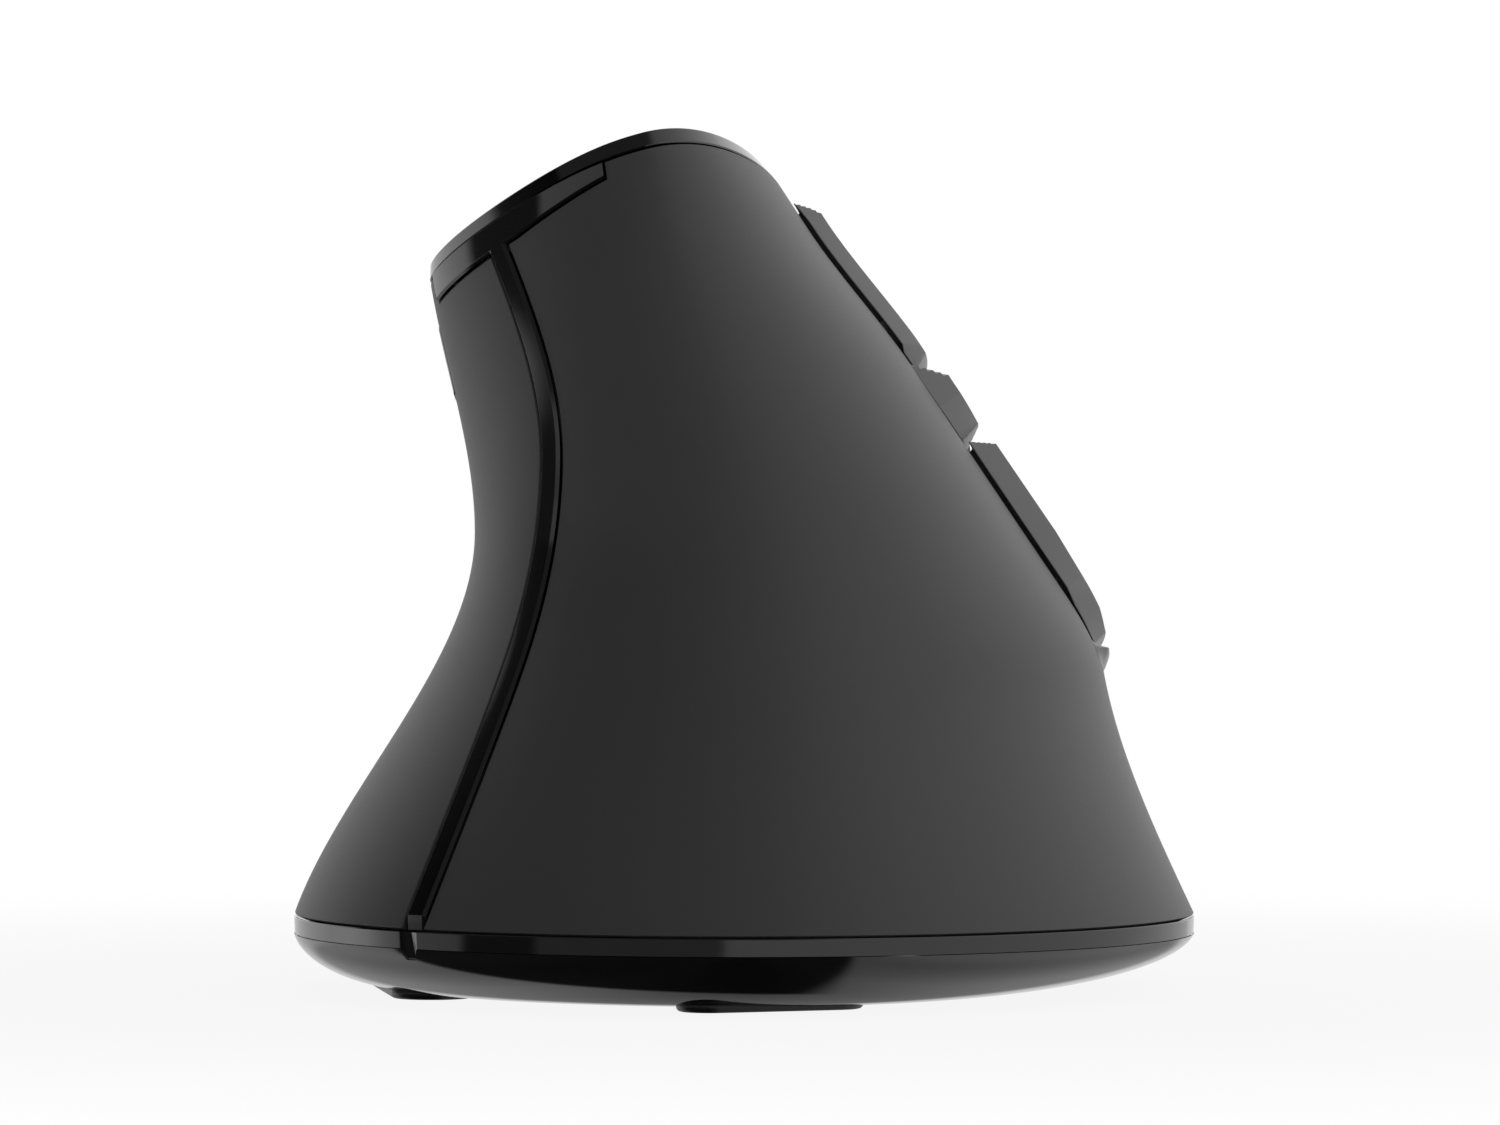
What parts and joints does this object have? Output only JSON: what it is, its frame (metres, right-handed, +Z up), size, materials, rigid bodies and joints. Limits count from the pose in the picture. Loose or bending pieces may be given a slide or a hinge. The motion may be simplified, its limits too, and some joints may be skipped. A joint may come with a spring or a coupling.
{
  "type": "vertical mouse",
  "caption": "Right-handed vertical mouse: leaning finger face with click buttons and a scroll wheel, thumb buttons opposite, glossy cap and skirt, on low-friction feet.",
  "frame": {"origin": "middle of the bounding box in plan, at desk level", "axes": "+X towards the fingers, +Y towards the nose (away from the user), +Z up"},
  "size_m": [0.0778, 0.095, 0.0732],
  "materials": {
    "soft_matte": "soft-touch matte",
    "gloss_black": "polished",
    "satin_grey": "satin",
    "wheel_rubber": "ribbed matte",
    "foot_pad": "smooth low-friction",
    "metal": "bright",
    "board": "lacquered",
    "inner_black": "moulded",
    "plunger": "moulded",
    "encoder": "moulded",
    "cell": "sleeved",
    "lens": "clear"
  },
  "bodies": {
    "body": {"base_shell": "gloss_black", "skirt_ring": "gloss_black", "thumb_cover": "soft_matte", "palm_cover": "soft_matte", "spine_trim": "gloss_black", "nose_trim": "gloss_black", "top_cap": "gloss_black", "button_frame": "gloss_black", "finger_ledge": "satin_grey", "rear_foot": "foot_pad", "left_foot": "foot_pad", "front_foot": "foot_pad", "battery_tray": "inner_black", "battery_cells": "cell", "battery_contacts": "metal", "power_switch": "inner_black", "main_board": "board", "sensor_chip": "inner_black", "sensor_lens": "lens", "chassis": "inner_black", "button_board": "board", "upper_switch": "inner_black", "lower_switch": "inner_black", "wheel_switch": "inner_black", "wheel_encoder": "encoder", "dpi_switch": "inner_black", "thumb_board": "board", "thumb_switches": "inner_black", "base_screws": "metal", "board_screws": "metal"},
    "upper_click": {"upper_button": "satin_grey", "upper_plunger": "plunger"},
    "lower_click": {"lower_button": "satin_grey", "lower_plunger": "plunger"},
    "dpi_key": {"dpi_button": "satin_grey", "dpi_plunger": "plunger"},
    "forward_key": {"forward_button": "satin_grey", "forward_plunger": "plunger"},
    "back_key": {"back_button": "satin_grey", "back_plunger": "plunger"},
    "carrier": {"wheel_carrier": "inner_black", "wheel_plunger": "plunger"},
    "wheel": {"wheel_tyre": "wheel_rubber", "wheel_hub": "satin_grey", "wheel_axle": "metal"},
    "door": {"battery_door": "gloss_black"},
    "knob": {"power_knob": "wheel_rubber"},
    "receiver": {"receiver_cap": "inner_black", "receiver_plug": "metal"}
  },
  "joints": [
    {"name": "upper_press", "type": "hinge", "parent": "body", "child": "upper_click", "pos_m": [0.00625, -0.00176, 0.05787], "axis": [-0.6076, 0.0792, 0.7903], "range_deg": [0, 1.11], "stiffness_Nm_per_rad": 0.8},
    {"name": "lower_press", "type": "hinge", "parent": "body", "child": "lower_click", "pos_m": [0.02199, 0.0019, 0.03561], "axis": [-0.6076, 0.0792, 0.7903], "range_deg": [0, 1.15], "stiffness_Nm_per_rad": 0.8},
    {"name": "dpi_press", "type": "slide", "parent": "body", "child": "dpi_key", "axis": [-0.7667, -0.3183, -0.5575], "range_m": [0, 0.0004], "stiffness_N_per_m": 2500},
    {"name": "forward_press", "type": "slide", "parent": "body", "child": "forward_key", "axis": [1, 0, 0], "range_m": [0, 0.0004], "stiffness_N_per_m": 2500},
    {"name": "back_press", "type": "slide", "parent": "body", "child": "back_key", "axis": [1, 0, 0], "range_m": [0, 0.0004], "stiffness_N_per_m": 2500},
    {"name": "wheel_press", "type": "slide", "parent": "body", "child": "carrier", "axis": [-0.7667, -0.3183, -0.5575], "range_m": [0, 0.0004], "stiffness_N_per_m": 3500},
    {"name": "wheel_spin", "type": "hinge", "parent": "carrier", "child": "wheel", "pos_m": [0.0119, 0.01671, 0.0431], "axis": [-0.6076, 0.0792, 0.7903], "continuous": true},
    {"name": "door_drop", "type": "slide", "parent": "body", "child": "door", "axis": [0, 0, -1], "range_m": [0, 0.015]},
    {"name": "power_slide", "type": "slide", "parent": "body", "child": "knob", "axis": [0, 1, 0], "range_m": [0, 0.003]},
    {"name": "receiver_pull", "type": "slide", "parent": "body", "child": "receiver", "axis": [0, 0, -1], "range_m": [0, 0.02]}
  ]
}
